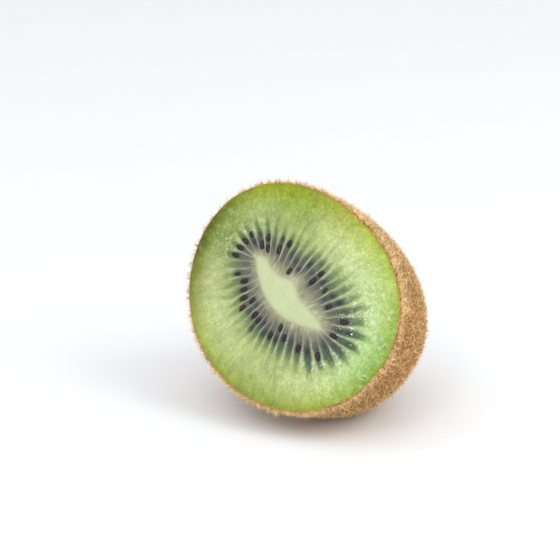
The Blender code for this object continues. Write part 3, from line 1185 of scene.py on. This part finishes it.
def sepal_points(heading, long, curl, twist, wave):
    """Points of one sepal that starts beside the stub, curls away from the fruit and twists."""
    outward = np.array([math.cos(heading), math.sin(heading), 0.0])
    across = np.array([-outward[1], outward[0], 0.0])
    place = outward * STUB_RADIUS * 0.62 + np.array([0, 0, -DEPTH - 0.0008])
    rings = []
    for step in range(SEPAL_RINGS):
        share = (step + 0.5) / SEPAL_RINGS
        bend = curl * share**1.4
        ahead = math.cos(bend) * outward + np.array([0, 0, -math.sin(bend)])
        up = math.sin(bend) * outward + np.array([0, 0, math.cos(bend)])
        place = place + ahead * long / SEPAL_RINGS
        side = math.cos(twist * share) * across + math.sin(twist * share) * up
        over = math.cos(twist * share) * up - math.sin(twist * share) * across
        rings.append(sepal_ring(place, side, over, share, wave))
    tip = place + ahead * long / SEPAL_RINGS / 2
    return np.vstack([[rings[0].mean(0)], *rings, [tip]])


def add_sepals(material, count=6, seed=40):
    """Dried sepals round the stub, each a thin pointed strip."""
    random = np.random.default_rng(seed)
    copies = []
    for number in range(count):
        heading = 2 * math.pi * (number + random.uniform(-0.25, 0.25)) / count
        long = random.uniform(0.0030, 0.0044)
        curl = random.uniform(1.2, 2.3)
        twist = random.uniform(-0.9, 0.9)
        copies.append(sepal_points(heading, long, curl, twist, number))
    points, faces = joined(loft_faces(SEPAL_RINGS, SEPAL_AROUND), copies)
    piece = new_piece("kiwi_sepals", stood(points), faces, {}, material, "stub")
    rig.replaces(piece, "flesh")


def add_floor():
    """A plain pale floor, wide enough to fill the view."""
    paint = Paint("pale_floor")
    grain = paint.noise(paint.place(), 0.02, 2.0)
    colour = paint.mix((0.945, 0.955, 0.97), (0.965, 0.975, 0.99), grain)
    material = paint.finish(Base_Color=colour, Roughness=0.7)
    corners = FLOOR_HALF * np.array([[-1, -1, 0], [1, -1, 0], [1, 1, 0], [-1, 1, 0]])
    mesh = bpy.data.meshes.new("floor")
    mesh.from_pydata(corners.tolist(), [], [(0, 1, 2, 3)])
    mesh.materials.append(material)
    floor = bpy.data.objects.new("floor", mesh)
    bpy.context.scene.collection.objects.link(floor)
    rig.stage(floor)


def direction(azimuth, elevation):
    """From the object towards a place at this azimuth, from the front round to +X, and elevation."""
    level = math.cos(math.radians(elevation))
    turn = math.radians(azimuth)
    return Vector((math.sin(turn) * level, -math.cos(turn) * level, math.sin(math.radians(elevation))))


def aimed(name, data, place, back):
    """Puts a light or a camera at a place, looking the other way from this direction."""
    made = bpy.data.objects.new(name, data)
    made.location = place
    made.rotation_mode = "QUATERNION"
    made.rotation_quaternion = (-back).to_track_quat("-Z", "Y")
    bpy.context.scene.collection.objects.link(made)
    return made


def add_light(name, azimuth, elevation, distance, size, level, colour):
    """A round soft light; level is the share of full white that it gives a surface facing it."""
    data = bpy.data.lights.new(name, "AREA")
    data.shape = "DISK"
    data.size = size
    data.energy = level * math.pi**2 * distance**2
    data.color = colour
    back = direction(azimuth, elevation)
    aimed(name, data, Vector(PLACE) + back * distance, back)


def add_lights():
    """Big soft lights overhead, in front and on the right, a small one for glints and a pale sky."""
    add_light("overhead", 130, 80, 0.8, 0.95, 0.07, (1.0, 1.0, 1.0))
    add_light("front_left", -30, 60, 0.9, 0.95, 0.17, (0.98, 0.99, 1.0))
    add_light("front", 14, 36, 0.9, 0.80, 0.12, (0.97, 0.98, 1.0))
    add_light("right", 98, 40, 0.7, 0.50, 0.31, (1.0, 0.99, 0.95))
    add_light("low_right", 40, 5, 0.7, 0.30, 0.12, (1.0, 0.99, 0.97))
    add_light("glint", 5, 48, 0.8, 0.06, 0.04, (1.0, 1.0, 1.0))
    world = bpy.data.worlds.new("studio")
    world.use_nodes = True
    background = world.node_tree.nodes["Background"]
    background.inputs["Color"].default_value = (0.96, 0.98, 1.0, 1.0)
    background.inputs["Strength"].default_value = SKY_LEVEL
    bpy.context.scene.world = world


def add_camera():
    """The photograph's view, aimed so that the cut's middle falls where it does there."""
    back = direction(VIEW_AZIMUTH, VIEW_ELEVATION)
    right = Vector((math.cos(math.radians(VIEW_AZIMUTH)), math.sin(math.radians(VIEW_AZIMUTH)), 0))
    up = back.cross(right)
    pixel_x, pixel_y = CUT_MIDDLE_PIXEL
    aim = Vector(PLACE) - right * (pixel_x - PIXELS / 2) / PIXELS_A_METRE
    aim += up * (pixel_y - PIXELS / 2) / PIXELS_A_METRE
    data = bpy.data.cameras.new("camera")
    data.sensor_width = 36.0
    data.lens = data.sensor_width * VIEW_DISTANCE / (PIXELS / PIXELS_A_METRE)
    data.clip_start, data.clip_end = 0.05, 20.0
    bpy.context.scene.camera = aimed("camera", data, aim + back * VIEW_DISTANCE, back)


def add_fuzz():
    """Four kinds of hair: down, fuzz and longer bristles all over, and a fringe at the rim."""
    down = hair_material("down_hair", (0.26, 0.125, 0.040), (0.64, 0.36, 0.125), (0.90, 0.58, 0.24))
    fuzz = hair_material("fuzz_hair", (0.30, 0.15, 0.050), (0.87, 0.545, 0.225), (1.0, 0.79, 0.45))
    # The fringe hairs are paler: partly their own golden colour, partly painted backlight glow.
    pale = hair_material("pale_hair_painted_glow", (0.54, 0.34, 0.13), (0.95, 0.63, 0.28), (1.0, 0.81, 0.49))
    add_hairs("kiwi_down", 19500, (0.0006, 0.0011), 0.00014, (45, 80), down, 2, 101)
    add_hairs("kiwi_fuzz", 19500, (0.0008, 0.0014), 0.00018, (45, 78), fuzz, 2, 102)
    add_hairs("kiwi_bristles", 9500, (0.0010, 0.0017), 0.00017, (30, 72), fuzz, 3, 103)
    add_hairs("kiwi_fringe", 3400, (0.0010, 0.0018), 0.00016, (10, 60), pale, 3, 104, FRINGE_END)


def bead_shape():
    """A low dome of radius one with its flat side down, sunk a little."""
    turn = full_turn(8)
    rings = []
    for wide, high in ((1.0, -0.25), (0.92, 0.3), (0.55, 0.68)):
        ring = [wide * np.cos(turn), wide * np.sin(turn), np.full(len(turn), high)]
        rings.append(np.column_stack(ring))
    points, faces = lofted([0, 0, -0.25], rings, [0, 0, 0.8])
    return points, [group[:, ::-1] for group in faces]


def bead_spots(count, random):
    """Where beads stand: mostly beside walls on wet flesh, as chamber numbers, shares and places."""
    tries = 80 * count
    numbers = random.integers(0, CHAMBERS, tries) + 0.5 + random.normal(0, 0.2, tries)
    shares = random.uniform(0.22, 0.88, tries)
    angles = chamber_angle(numbers)
    plane = core_outline(angles) * (1 - shares)[:, None] + rim_outline(angles) * shares[:, None]
    clusters = smooth_step(-0.2, 0.7, unevenness(plane, 0.0016, 71))
    fewer_outwards = 1 - 0.75 * smooth_step(0.45, 0.75, shares)
    standing = wetness_and_sheen(plane, WET_AND_SHEEN_SPOTS[:1]) ** 2 * clusters * fewer_outwards
    chosen = np.flatnonzero(random.random(tries) < 0.3 * standing)[:count]
    return numbers[chosen], shares[chosen], plane[chosen]


def add_beads(count=800, seed=77):
    """Tiny beads of juice that stand on the cut where it is wettest, many of them coloured near white as painted
    glints.
    """
    paint = Paint("juice_bead_painted_glint")
    # Painted glints: the beads run from green to near white, so that many read as sparkles of light.
    tone = paint.noise(paint.place(), 0.0012, 2.0)
    colour = paint.mix((0.42, 0.60, 0.40), (0.92, 0.97, 0.92), tone.between(0.38, 0.66))
    material = paint.finish(Base_Color=colour, Roughness=0.2, Coat_Weight=0.5, Coat_Roughness=0.05)
    random = np.random.default_rng(seed)
    numbers, shares, plane = bead_spots(count, random)
    outward = plane / np.linalg.norm(plane, axis=1, keepdims=True)
    heights = face_height(shares, numbers)
    shape, groups = bead_shape()
    copies = []
    for place, height, along in zip(plane, heights, outward):
        radius = BEAD_RADIUS * math.exp(random.normal(0, 0.35))
        long_way = random.uniform(1.0, 2.4)
        flat = np.outer(shape[:, 0] * long_way, along) + np.outer(shape[:, 1], [-along[1], along[0]])
        copies.append(np.column_stack([flat * radius + place, shape[:, 2] * radius * 0.8 + height]))
    points, faces = joined(groups, copies)
    piece = new_piece("kiwi_juice_beads", stood(points), faces, {}, material, "flesh")
    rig.replaces(piece, "flesh")


def main():
    scene = bpy.context.scene
    scene.view_settings.view_transform = "Standard"
    add_floor()
    add_flesh(flesh_material())
    add_core(core_material())
    add_seeds(seed_material())
    add_beads()
    add_skin(skin_material())
    add_fuzz()
    stub = stub_material()
    add_stub(stub)
    add_sepals(stub)
    add_lights()
    add_camera()


main()
boxes = {"cad": CAD_BOX, "visual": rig.bounds()}
with open("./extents.json", "w") as size_file:
    json.dump({name: [list(corner) for corner in box] for name, box in boxes.items()}, size_file)
